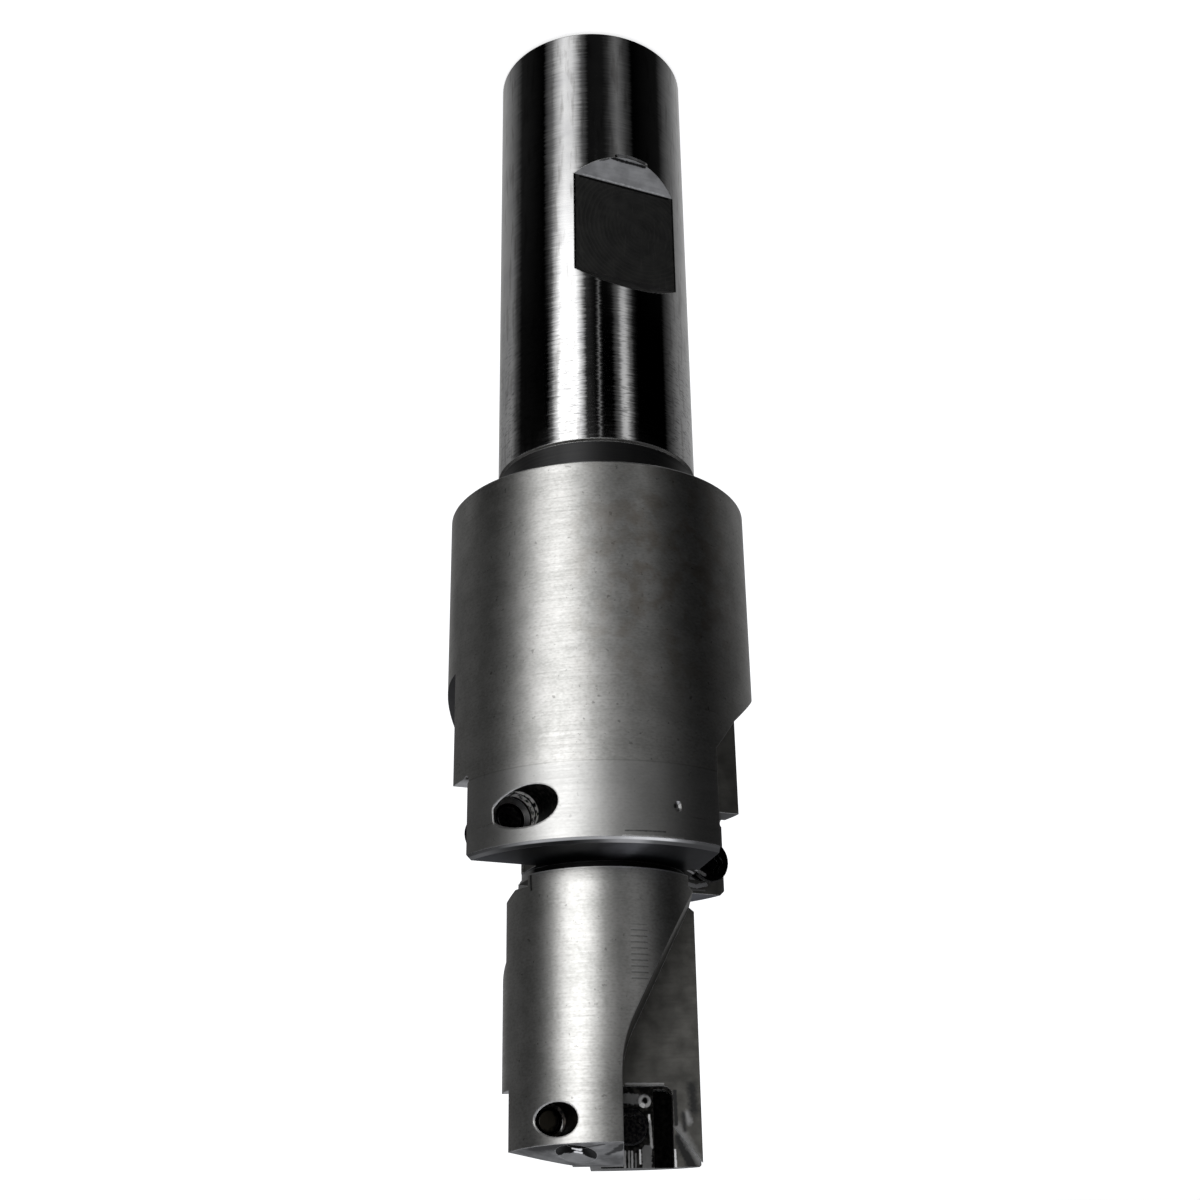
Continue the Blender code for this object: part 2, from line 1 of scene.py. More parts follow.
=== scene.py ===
"""The looks of the indexable step drill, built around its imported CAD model.

World metres, +Z up: the tool stands on the end of its shank with its point upwards.
The camera hangs above the point with its top turned to the floor, as the photograph does.
Azimuths are in degrees about the tool's axis: 0 faces the camera, and they grow to the picture's right.
"""
import math

import bpy
from mathutils import Matrix, Vector

MM = 0.001

# Camera, as fitted to the photograph
CAMERA_PLACE = (0.0, -142.6131 * MM, 121.3255 * MM)
CAMERA_TILT = 0.3909
CAMERA_PAN = -0.0013
CAMERA_ROLL = -0.0154
LENS_MM = 46.684
SENSOR_MM = 36.0

# Heights along the tool
SHANK_END_Z = 50.0 * MM
SHOULDER_Z = 54.6 * MM
STEP_Z = 90.4 * MM
TIP_Z = 115.4 * MM
SCREW_THREAD_Z = 83.3 * MM

# Radii of the turned surfaces
SHANK_R = 10.0 * MM
NECK_R = 9.8 * MM
BODY_R = 14.6 * MM
PILOT_R = 9.07 * MM
GROOVE_R = 7.65 * MM

# The clamping flat
FLAT_ANGLE = math.radians(246.0)
FLAT_DISTANCE = 8.2 * MM
FLAT_CENTRE_Z = 24.35 * MM
FLAT_HALF_LENGTH = 5.85 * MM
FLAT_RUN_OUT = 2.2 * MM

# The centre insert's pocket, seen square from the camera
POCKET_FLOOR_Y = 3.6 * MM
POCKET_CLOSED_Z = 108.5 * MM
POCKET_RIGHT_X = -6.0 * MM

# Clamp screws: station angle, seat point, lean outwards, lean to the point, thread, exit bore
STEP_ANGLE = -23.35
STEP_SCREW = ((11.65 * MM, -3.1 * MM, 87.45 * MM), 6.0, 5.3, 1.3 * MM, 1.8 * MM)
OUTER_SCREW = ((5.57 * MM, -3.7 * MM, 112.0 * MM), 19.9, 0.0, 1.05 * MM, 1.375 * MM)
CENTRE_SCREW = ((2.15 * MM, -3.6 * MM, 112.0 * MM), 0.0, 0.0, 1.05 * MM, 1.375 * MM)
SCREW_SEATS = (
    (STEP_ANGLE, *STEP_SCREW),
    (STEP_ANGLE + 180.0, *STEP_SCREW),
    (0.0, *OUTER_SCREW),
    (180.0, *CENTRE_SCREW),
)

# The coolant outlet in the near land's end
COOLANT_MOUTH = (2.65 * MM, -7.0 * MM)
COOLANT_MOUTH_R = 3.3 * MM
COOLANT_LOW_Z = 109.0 * MM

# The studio round the tool, (azimuth, brightness), at three heights of the reflected view
LOW_STUDIO = (
    (-180, 0.40), (-144, 0.26), (-118, 0.12), (-100, 0.012), (-62, 0.0), (-50, 0.14), (-45, 0.42), (-34, 0.95),
    (-24, 0.80), (-12, 0.10), (-4, 0.006), (16, 0.008), (22, 0.03), (33, 0.14), (45, 0.04), (54, 0.0), (95, 0.006),
    (122, 0.14), (152, 0.36), (180, 0.40),
)
SHANK_STUDIO = (
    (-180, 0.42), (-150, 0.22), (-118, 0.22), (-108, 0.06), (-99, 0.004), (-57, 0.0), (-52, 0.12),
    (-46, 0.9), (-40, 1.9), (-23, 1.9), (-17, 0.95), (-10, 0.03), (2, 0.0), (4, 0.03), (5.5, 0.22), (7, 0.03),
    (9, 0.0), (22, 0.0), (29, 0.12), (33, 0.52), (37, 0.56), (42, 0.18), (47, 0.01), (52, 0.0), (90, 0.0), (104, 0.07),
    (118, 0.19), (140, 0.28), (180, 0.42),
)
HIGH_STUDIO = (
    (-180, 0.42), (-160, 0.26), (-140, 0.09), (-112, 0.08), (-94, 0.05), (-78, 0.05), (-66, 0.15),
    (-57, 0.55), (-48, 1.15), (-39, 1.9), (-30, 2.35), (-22, 2.2), (-13, 1.55), (-5, 1.0), (2, 0.58),
    (10, 0.34), (20, 0.22), (33, 0.15), (45, 0.09), (56, 0.04), (68, 0.014), (86, 0.006), (100, 0.02),
    (118, 0.06), (134, 0.11), (155, 0.24), (180, 0.42),
)
LOW_TO_SHANK = (-0.62, -0.53)
SHANK_TO_HIGH = (-0.47, -0.41)
HIGH_TO_ABOVE = (0.08, 0.20)
ABOVE = (0.05, 0.05, 0.055)
OVERHEAD_FROM = (0.36, 0.6)
OVERHEAD = (0.62, 0.63, 0.66)

# Painted light and shade round the axis, (azimuth, grey): greys that follow where the studio's light and reflections
# fall
NECK_PAINTED_SHADE = ((-180, 0.2), (-60, 0.2), (-38, 0.14), (-22, 0.05), (22, 0.05), (38, 0.14), (60, 0.2), (180, 0.2))
STEP_PAINTED_LIGHT = (
    (-180, 0.3), (-75, 0.25), (-46, 0.16), (-36, 0.06), (-27, 0.02), (-10, 0.02), (-1, 0.09), (6, 0.4),
    (13, 0.45), (18, 0.15), (25, 0.08), (33, 0.07), (60, 0.08), (75, 0.1), (110, 0.3), (180, 0.3),
)
EDGE_PAINTED_LIGHT = (
    (-180, 0.3), (-60, 0.08), (-38, 0.08), (-31, 0.25), (-22, 0.6), (-8, 0.5), (5, 0.6), (12, 1.0),
    (23, 1.0), (27, 0.35), (34, 0.1), (70, 0.08), (180, 0.3),
)
ROOT_PAINTED_LIGHT = ((-180, 0.2), (-74, 1.0), (-60, 1.0), (-52, 0.02), (50, 0.02), (65, 0.05), (90, 0.2), (180, 0.2))

# Painted highlight and shade on the pilot by azimuth, multiplied into its colour
PILOT_PAINTED_LIGHT = (
    (-180, 1.0), (-30, 1.0), (-22, 1.17), (-8, 1.12), (-4, 1.05), (1, 0.8), (9, 0.78), (13, 1.05), (18, 1.5),
    (26, 1.7), (33, 1.25), (44, 1.0), (180, 1.0),
)

# Small marks: first place, last place, ring radius, half width and softness in millimetres, then the tone
CHIP = (
    ((-2.75, -9.61, 16.30), (-4.1, -9.12, 16.24)),
    ((-4.1, -9.12, 16.24), (-5.63, -8.26, 16.36)),
)
# Painted highlight along the slope's foot and painted shade along its arc
SLOPE_LIGHT_AND_SHADE = (
    ((0.95, -9.4, 18.32), (-7.6, -5.6, 18.32), 0.0, 0.09, 0.06, 0.62),
    ((-0.9, -9.85, 16.95), (-1.75, -9.8, 16.68), 0.0, 0.06, 0.12, 0.10),
    ((-2.14, -9.74, 16.57), (-3.72, -9.05, 16.65), 0.0, 0.09, 0.12, 0.02),
    ((-3.72, -9.05, 16.65), (-5.6, -8.2, 16.62), 0.0, 0.09, 0.12, 0.02),
)
# Painted shade lines along the flat's edges
FLAT_EDGE_SHADE = (
    ((1.2, -9.5, 18.64), (-8.0, -5.4, 18.64), 0.0, 0.10, 0.08, 0.03),
    ((1.86, -9.8, 18.5), (1.93, -9.81, 30.2), 0.0, 0.14, 0.10, 0.01),
    ((-8.58, -5.13, 18.5), (-8.58, -5.13, 30.2), 0.0, 0.14, 0.10, 0.02),
)
FLAT_SWIRL = (-4.95, -6.77, 23.8)
# Painted shade line above the step's rim, painted highlight along the rim, and painted shade with a painted glint at
# the nick
COLLAR_LIGHT_AND_SHADE = (
    ((-2.0, -14.46, 89.46), (-3.8, -14.1, 89.44), 0.0, 0.02, 0.08, 0.2),
    ((-3.8, -14.1, 89.44), (-5.4, -13.56, 89.42), 0.0, 0.02, 0.08, 0.2),
    ((-1.8, -14.49, 89.93), (-4.4, -13.92, 89.93), 0.0, 0.07, 0.10, 1.0),
    ((-4.4, -13.92, 89.93), (-6.9, -12.87, 89.93), 0.0, 0.07, 0.10, 1.0),
    ((-6.3, -13.17, 87.15), (-6.3, -13.17, 87.0), 0.0, 0.06, 0.10, 0.1),
    ((-6.62, -13.01, 86.8), (-6.66, -12.99, 87.35), 0.0, 0.16, 0.08, 1.0),
)
NICK = ((-6.55, -13.05, 86.95), (-6.57, -13.04, 87.2))
# Painted shade line by the near land's notch
PILOT_NOTCH_SHADE = (
    ((6.33, -6.5, 90.9), (6.25, -6.57, 92.7), 0.0, 0.05, 0.10, 0.06),
)
ROOT_MARKS = ()
# A painted shade patch and painted highlight strips on the step's face
STEP_LIGHT_AND_SHADE = (
    ((-8.0, -2.5, 90.4), (-8.78, 0.65, 90.4), 0.0, 0.9, 0.4, 0.01),
    ((-7.8, -3.0, 90.4), (-8.7, -0.9, 90.4), 0.0, 0.12, 0.08, 0.95),
    ((-8.5, -3.1, 90.4), (-9.0, -2.0, 90.4), 0.0, 0.10, 0.08, 0.8),
)
# Painted shade low in the gullet, and painted highlight lines near the step
GULLET_LIGHT_AND_SHADE = (
    ((14.3, -2.6, 72.5), (14.37, 1.6, 74.0), 0.0, 1.0, 0.4, 0.04),
    ((-8.37, 6.99, 89.55), (-9.1, 7.31, 89.68), 0.0, 0.16, 0.08, 1.0),
    ((-9.1, 7.31, 89.68), (-10.07, 7.72, 89.42), 0.0, 0.16, 0.08, 1.0),
    ((-8.4, 7.0, 90.06), (-9.92, 7.66, 90.03), 0.0, 0.05, 0.06, 0.5),
    ((-8.55, 7.1, 88.9), (-9.27, 7.55, 88.9), 0.0, 0.12, 0.08, 0.9),
)
# Lighter patches and painted highlight strips on the pocket floor, which is painted near black as shade
POCKET_HIGHLIGHTS = (
    ((-1.75, 3.6, 109.5), (-2.75, 3.6, 109.6), 0.0, 0.38, 0.15, 0.15),
    ((-3.86, 3.6, 110.95), (-3.90, 3.6, 111.5), 0.0, 0.05, 0.08, 1.0),
    ((-3.93, 3.6, 111.5), (-4.04, 3.6, 113.7), 0.0, 0.07, 0.08, 0.4),
    ((-3.6, 3.6, 113.9), (-3.6, 3.6, 115.6), 0.0, 0.40, 0.06, 0.16),
    ((-2.99, 3.6, 113.9), (-3.0, 3.6, 115.0), 0.0, 0.06, 0.05, 0.9),
    ((-1.65, 3.6, 114.0), (-1.63, 3.6, 115.3), 0.0, 0.07, 0.05, 0.5),
    ((-2.0, 3.6, 114.0), (-2.0, 3.6, 115.3), 0.0, 0.06, 0.05, 0.35),
    ((-2.28, 3.6, 114.0), (-2.28, 3.6, 115.3), 0.0, 0.06, 0.05, 0.5),
    ((-2.6, 3.6, 114.2), (-2.6, 3.6, 115.3), 0.0, 0.05, 0.05, 0.2),
)
# A painted highlight round the small hole's rim and a painted glint in the groove
GROOVE_HIGHLIGHTS = (
    ((-3.56, 4.2, 109.64), (-3.56, 4.2, 109.64), 0.46, 0.10, 0.16, 0.6),
    ((-3.30, 4.2, 110.1), (-3.24, 4.2, 110.2), 0.0, 0.16, 0.10, 1.6),
)
# A painted highlight along the flute's edge, and painted light and shade bands on its walls
FLUTE_LIGHT_AND_SHADE = (
    ((-6.08, 3.45, 113.95), (-6.12, 3.45, 115.4), 0.0, 0.08, 0.05, 1.0),
    ((-6.5, 3.4, 112.9), (-7.5, 3.45, 115.2), 0.0, 0.30, 0.3, 0.04),
    ((-6.35, 3.1, 111.9), (-8.3, 3.45, 114.9), 0.0, 0.05, 0.5, 0.30),
    ((-7.24, 3.1, 110.9), (-7.39, 3.1, 111.6), 0.0, 0.05, 0.4, 0.38),
    ((-7.75, 3.1, 108.6), (-7.85, 3.1, 110.6), 0.0, 0.15, 0.5, 0.05),
    ((-6.9, 3.1, 110.9), (-7.0, 3.1, 112.3), 0.0, 0.05, 0.25, 0.06),
    ((-1.85, 3.1, 108.28), (-5.2, 3.1, 108.32), 0.0, 0.05, 0.06, 0.42),
    ((-6.2, 3.1, 109.0), (-6.25, 3.1, 111.8), 0.0, 0.12, 0.1, 0.05),
)
# On the point's end: painted shade from the coolant mouth's rim, a darker zone on its left, a near-black wedge and a
# dark line along its edge
POINT_MARKS = (
    ((3.95, -7.9, 113.98), (2.95, -8.1, 114.02), 0.0, 0.22, 0.08, 0.004),
    ((-1.5, -8.3, 114.12), (-0.9, -7.4, 114.4), 0.0, 0.30, 0.20, 0.004),
    ((-0.9, -7.4, 114.4), (-0.1, -6.6, 114.68), 0.0, 0.10, 0.25, 0.01),
    ((6.1, -6.4, 114.1), (4.2, -7.9, 114.1), 0.0, 0.5, 0.8, 0.015),
    ((2.6, -7.6, 114.2), (0.2, -8.6, 114.0), 0.0, 0.05, 0.15, 0.03),
)
# Painted shade in the coolant mouth and two painted glints on its wall
MOUTH_SHADE_AND_GLINTS = (
    ((4.0, -7.0, 114.1), (1.3, -6.6, 114.0), 0.0, 1.45, 0.12, 0.004),
    ((2.7, -5.5, 113.92), (2.25, -5.6, 114.1), 0.0, 0.26, 0.06, 1.0),
    ((2.60, -5.37, 114.40), (2.06, -5.38, 114.50), 0.0, 0.08, 0.05, 1.0),
)
# A painted thread glint in the outer screw's exit bore
BORE_GLINT = (
    ((3.68, -5.64, 111.9), (3.72, -5.72, 112.8), 0.0, 0.07, 0.08, 0.35),
)
# A painted glint on a step screw's head, and the brownish end of the outer screw
SCREW_MARKS = (
    ((-9.24, 4.98, 88.72), (-9.83, 5.34, 88.99), 0.0, 0.12, 0.08, 0.9),
    ((4.95, -6.0, 111.8), (4.95, -6.0, 112.0), 0.0, 0.60, 0.3, (0.065, 0.058, 0.045)),
)

# The bright band in the step screws' holes, worn thread with a painted highlight, by depth from the seat, and the
# pilot's ladder of ticks
EDGE_LIT_Z = 90.12 * MM
BAND_DEPTH = 4.4 * MM
BAND_HALF = 0.62 * MM
TICK_PITCH = 0.51 * MM
TICKS_Z = 98.65 * MM
TICKS_HALF = 2.35 * MM


def new_material(name):
    """An empty node material with its output."""
    material = bpy.data.materials.new(name)
    material.use_nodes = True
    tree = material.node_tree
    tree.nodes.clear()
    output = tree.nodes.new("ShaderNodeOutputMaterial")
    return material, tree, output


def node(tree, kind, inputs=None, **settings):
    """Adds a node; inputs holds values or sockets by name or index."""
    made = tree.nodes.new(kind)
    for key, value in settings.items():
        setattr(made, key, value)
    for key, value in (inputs or {}).items():
        if isinstance(value, bpy.types.NodeSocket):
            tree.links.new(value, made.inputs[key])
        else:
            made.inputs[key].default_value = value
    return made


def math_node(tree, operation, first, second=0.0, clamp=False):
    """A Math node's result."""
    return node(tree, "ShaderNodeMath", {0: first, 1: second}, operation=operation, use_clamp=clamp).outputs[0]


def vector_node(tree, operation, first, second=(0.0, 0.0, 0.0)):
    """A Vector Math node's first result."""
    return node(tree, "ShaderNodeVectorMath", {0: first, 1: second}, operation=operation).outputs[0]


def spread(tree, value, low, high, first=0.0, last=1.0):
    """Maps low..high to first..last, held at both ends."""
    return node(tree, "ShaderNodeMapRange", {0: value, 1: low, 2: high, 3: first, 4: last}).outputs[0]


def near(tree, value, centre, width, soft):
    """One inside centre +- width, falling to nothing over soft."""
    away = math_node(tree, "ABSOLUTE", math_node(tree, "SUBTRACT", value, centre))
    return spread(tree, away, width, width + soft, 1.0, 0.0)


def times(tree, *values):
    """The product of several values."""
    result = values[0]
    for value in values[1:]:
        result = math_node(tree, "MULTIPLY", result, value)
    return result


def ramp(tree, factor, stops):
    """A colour ramp over factor; stops are (place, grey or colour)."""
    made = node(tree, "ShaderNodeValToRGB", {"Fac": factor})
    band = made.color_ramp
    while len(band.elements) < len(stops):
        band.elements.new(0.5)
    for element, (place, tone) in zip(band.elements, stops):
        element.position = place
        colour = tone if isinstance(tone, tuple) else (tone, tone, tone)
        element.color = (*colour, 1.0)
    return made.outputs["Color"]


def mix(tree, factor, first, second, blend="MIX"):
    """Mixes two colours."""
    made = node(tree, "ShaderNodeMix", data_type="RGBA", blend_type=blend)
    for key, value in ((0, factor), (6, first), (7, second)):
        if isinstance(value, bpy.types.NodeSocket):
            tree.links.new(value, made.inputs[key])
        elif key == 0:
            made.inputs[0].default_value = value
        else:
            made.inputs[key].default_value = (*value, 1.0)
    return made.outputs[2]


def noise(tree, scale, detail=2.0, stretch=None):
    """Noise over the tool; scale is in waves per metre and stretch multiplies it along X, Y and Z."""
    place = position(tree)
    if stretch:
        place = vector_node(tree, "MULTIPLY", place, stretch)
    return node(tree, "ShaderNodeTexNoise", {"Vector": place, "Scale": scale, "Detail": detail}).outputs["Fac"]


def position(tree):
    """The place on the tool."""
    return node(tree, "ShaderNodeNewGeometry").outputs["Position"]


def height(tree):
    """The height along the tool."""
    return node(tree, "ShaderNodeSeparateXYZ", {0: position(tree)}).outputs[2]


def azimuth(tree):
    """The azimuth of a place on the tool, in degrees."""
    parts = node(tree, "ShaderNodeSeparateXYZ", {0: position(tree)})
    minus_x = math_node(tree, "MULTIPLY", parts.outputs[0], -1.0)
    minus_y = math_node(tree, "MULTIPLY", parts.outputs[1], -1.0)
    return math_node(tree, "MULTIPLY", math_node(tree, "ARCTAN2", minus_x, minus_y), math.degrees(1.0))


def light_by_azimuth(tree, stops):
    """A painted light and shade tone by azimuth; stops are (azimuth, grey or colour)."""
    share = spread(tree, azimuth(tree), -180.0, 180.0)
    return ramp(tree, share, [((place + 180.0) / 360.0, tone) for place, tone in stops])


def distance_to(tree, first, last):
    """The distance from the line between two places, in millimetres."""
    start = Vector(first) * MM
    reach = Vector(last) * MM - start
    arm = vector_node(tree, "SUBTRACT", position(tree), tuple(start))
    if reach.length > 0:
        along = node(tree, "ShaderNodeVectorMath", {0: arm, 1: tuple(reach)}, operation="DOT_PRODUCT").outputs["Value"]
        share = math_node(tree, "MULTIPLY", along, 1.0 / reach.length_squared, clamp=True)
        foot = node(tree, "ShaderNodeVectorMath", {0: tuple(reach), "Scale": share}, operation="SCALE").outputs[0]
        arm = vector_node(tree, "SUBTRACT", arm, foot)
    length = node(tree, "ShaderNodeVectorMath", {0: arm}, operation="LENGTH").outputs["Value"]
    return math_node(tree, "DIVIDE", length, MM)


def marked(tree, colour, marks):
    """Lays ragged marks on a colour; each is (first place, last place, ring radius, half width, softness, tone)."""
    if not marks:
        return colour
    ragged = times(tree, math_node(tree, "SUBTRACT", noise(tree, 3800.0, 2.0), 0.5), 0.55)
    for first, last, radius, width, soft, tone in marks:
        away = math_node(tree, "ADD", distance_to(tree, first, last), times(tree, ragged, min(1.0, 1.6 * (width + soft))))
        inside = near(tree, away, radius, width, soft)
        colour = mix(tree, inside, colour, tone if isinstance(tone, tuple) else (tone, tone, tone))
    return colour


def hole_distance(tree, seat, lean):
    """How far a place is from the axis of a clamp screw's hole, in millimetres."""
    first = seat + 1.5 * MM * lean
    last = seat - 10.0 * MM * lean
    return distance_to(tree, tuple(first / MM), tuple(last / MM))


def make_camera():
    """The camera at the photograph's place, upside down as the photograph is."""
    data = bpy.data.cameras.new("camera")
    data.sensor_fit = "HORIZONTAL"
    data.sensor_width = SENSOR_MM
    data.lens = LENS_MM
    data.clip_start = 0.01
    data.clip_end = 20.0
    camera = bpy.data.objects.new("camera", data)
    bpy.context.scene.collection.objects.link(camera)
    ahead = Vector((
        math.sin(CAMERA_PAN) * math.cos(CAMERA_TILT),
        math.cos(CAMERA_PAN) * math.cos(CAMERA_TILT),
        -math.sin(CAMERA_TILT),
    ))
    level_right = ahead.cross(Vector((0.0, 0.0, -1.0))).normalized()
    level_up = level_right.cross(ahead)
    right = math.cos(CAMERA_ROLL) * level_right + math.sin(CAMERA_ROLL) * level_up
    up = -math.sin(CAMERA_ROLL) * level_right + math.cos(CAMERA_ROLL) * level_up
    turn = Matrix((right, up, -ahead)).transposed().to_4x4()
    turn.translation = Vector(CAMERA_PLACE)
    camera.matrix_world = turn
    bpy.context.scene.camera = camera


def studio_ring(tree, angle, stops):
    """One ring of the studio; angle is in degrees."""
    share = spread(tree, angle, -180.0, 180.0)
    return ramp(tree, share, [((place + 180.0) / 360.0, tone) for place, tone in stops])


def make_world():
    """A studio of soft boxes and dark cards round the tool; the camera sees plain white."""
    world = bpy.data.worlds.new("studio")
    bpy.context.scene.world = world
    world.use_nodes = True
    tree = world.node_tree
    tree.nodes.clear()
    output = tree.nodes.new("ShaderNodeOutputWorld")
    place = node(tree, "ShaderNodeTexCoord").outputs["Generated"]
    parts = node(tree, "ShaderNodeSeparateXYZ", {0: place})
    minus_x = math_node(tree, "MULTIPLY", parts.outputs[0], -1.0)
    minus_y = math_node(tree, "MULTIPLY", parts.outputs[1], -1.0)
    angle = math_node(tree, "MULTIPLY", math_node(tree, "ARCTAN2", minus_x, minus_y), math.degrees(1.0))
    level = parts.outputs[2]
    low = studio_ring(tree, angle, LOW_STUDIO)
    shank = studio_ring(tree, angle, SHANK_STUDIO)
    high = studio_ring(tree, angle, HIGH_STUDIO)
    lower = mix(tree, spread(tree, level, *LOW_TO_SHANK), low, shank)
    sides = mix(tree, spread(tree, level, *SHANK_TO_HIGH), lower, high)
    above = mix(tree, spread(tree, level, *HIGH_TO_ABOVE), sides, ABOVE)
    studio = mix(tree, spread(tree, level, *OVERHEAD_FROM), above, OVERHEAD)
    light = node(tree, "ShaderNodeBackground", {"Color": studio, "Strength": 1.0}).outputs[0]
    white = node(tree, "ShaderNodeBackground", {"Color": (1.0, 1.0, 1.0, 1.0), "Strength": 1.0}).outputs[0]
    camera_ray = node(tree, "ShaderNodeLightPath").outputs["Is Camera Ray"]
    both = node(tree, "ShaderNodeMixShader", {0: camera_ray, 1: light, 2: white}).outputs[0]
    tree.links.new(both, output.inputs["Surface"])


def make_floor():
    """A pale floor that keeps the tool's shadow and stays out of the metal's reflections."""
    bpy.ops.mesh.primitive_plane_add(size=12.0, location=(0.0, 0.0, -0.1 * MM))
    floor = bpy.context.object
    floor.name = "floor"
    material, tree, output = new_material("pale_floor")
    paint = node(tree, "ShaderNodeBsdfDiffuse", {"Color": (0.86, 0.86, 0.86, 1.0)}).outputs[0]
    glow = node(tree, "ShaderNodeEmission", {"Color": (1.0, 1.0, 1.0, 1.0), "Strength": 0.74}).outputs[0]
    camera_ray = node(tree, "ShaderNodeLightPath").outputs["Is Camera Ray"]
    black = node(tree, "ShaderNodeEmission", {"Color": (0.0, 0.0, 0.0, 1.0), "Strength": 0.0}).outputs[0]
    lift = node(tree, "ShaderNodeMixShader", {0: camera_ray, 1: black, 2: glow}).outputs[0]
    both = node(tree, "ShaderNodeAddShader", {0: paint, 1: lift}).outputs[0]
    tree.links.new(both, output.inputs["Surface"])
    floor.data.materials.append(material)
    floor.visible_glossy = False


def radial_normal(tree):
    """The exact normal of a surface turned about the tool's axis."""
    return vector_node(tree, "NORMALIZE", vector_node(tree, "MULTIPLY", position(tree), (1.0, 1.0, 0.0)))


def turned_normal(tree, grain, sway):
    """The turned surface's normal, swayed about the axis by its grain."""
    normal = radial_normal(tree)
    beside = node(tree, "ShaderNodeVectorMath", {0: normal, 1: (0.0, 0.0, 1.0)}, operation="CROSS_PRODUCT").outputs[0]
    lean = times(tree, math_node(tree, "SUBTRACT", grain, 0.5), sway)
    shift = node(tree, "ShaderNodeVectorMath", {0: beside, "Scale": lean}, operation="SCALE").outputs[0]
    return vector_node(tree, "NORMALIZE", vector_node(tree, "ADD", normal, shift))


def finish(tree, output, colour, roughness, grain, grain_depth=0.02, normal=None, edge=0.1, worn=(0.8, 0.8, 0.79),
           glancing=1.0):
    """A metal surface whose sharp edges are lightened over a width of edge, in millimetres: a painted edge highlight,
    with rubbed wear.
    """
    inputs = {"Radius": math_node(tree, "MULTIPLY", edge, MM)}
    if normal:
        inputs["Normal"] = normal
    rounded = node(tree, "ShaderNodeBevel", inputs, samples=4).outputs[0]
    true_normal = node(tree, "ShaderNodeNewGeometry").outputs["True Normal"]
    along = node(tree, "ShaderNodeVectorMath", {0: rounded, 1: true_normal}, operation="DOT_PRODUCT").outputs["Value"]
    # Edges lightened towards the worn colour: painted edge highlight, with rubbed wear
    rim = spread(tree, along, 0.985, 0.90)
    bumped = node(
        tree, "ShaderNodeBump", {"Strength": 1.0, "Distance": grain_depth * MM, "Height": grain, "Normal": rounded}
    ).outputs[0]
    shader = node(tree, "ShaderNodeBsdfPrincipled", {
        "Base Color": mix(tree, times(tree, rim, 0.8), colour, worn),
        "Metallic": 1.0,
        "Roughness": roughness,
        "Normal": bumped,
        "Specular Tint": (glancing, glancing, glancing, 1.0),
    }).outputs[0]
    tree.links.new(shader, output.inputs["Surface"])


def ground_shank():
    """The polished shank: fine grinding rings that break up its reflections, film and handling marks."""
    material, tree, output = new_material("ground_shank")
    rings = noise(tree, 1.0, 3.0, (420.0, 420.0, 5600.0))
    cloud = noise(tree, 420.0, 4.0)
    film = noise(tree, 1.0, 4.0, (1500.0, 1500.0, 240.0))
    tone = ramp(tree, cloud, [(0.30, (0.68, 0.68, 0.69)), (0.60, (0.80, 0.80, 0.80))])
    colour = mix(tree, times(tree, spread(tree, film, 0.54, 0.66), 0.5), tone, (0.36, 0.35, 0.34))
    grit = noise(tree, 1.0, 3.0, (1300.0, 1300.0, 6800.0))
    worn = spread(tree, height(tree), 28.0 * MM, 42.0 * MM)
    colour = mix(tree, times(tree, spread(tree, grit, 0.52, 0.66), worn, 0.7), colour, (0.22, 0.22, 0.22))
    roughness = spread(tree, rings, 0.25, 0.75, 0.03, 0.085)
    away = math_node(tree, "MINIMUM", distance_to(tree, *CHIP[0]), distance_to(tree, *CHIP[1]))
    grain = math_node(tree, "SUBTRACT", rings, times(tree, near(tree, away, 0.0, 0.04, 0.28), 110.0))
    finish(tree, output, colour, roughness, grain, 0.0012, turned_normal(tree, rings, 0.075), edge=0.14)
    return material


def dull_neck():
    """The unground neck, with painted shade darkest in front."""
    material, tree, output = new_material("dull_neck")
    rings = noise(tree, 1.0, 3.0, (200.0, 200.0, 7000.0))
    # Painted shade by azimuth, darkest in front
    tone = light_by_azimuth(tree, NECK_PAINTED_SHADE)
    colour = mix(tree, spread(tree, rings, 0.3, 0.7, 0.0, 0.35), tone, (0.03, 0.03, 0.035))
    finish(tree, output, colour, 0.42, rings, 0.006, radial_normal(tree), edge=0.08)
    return material


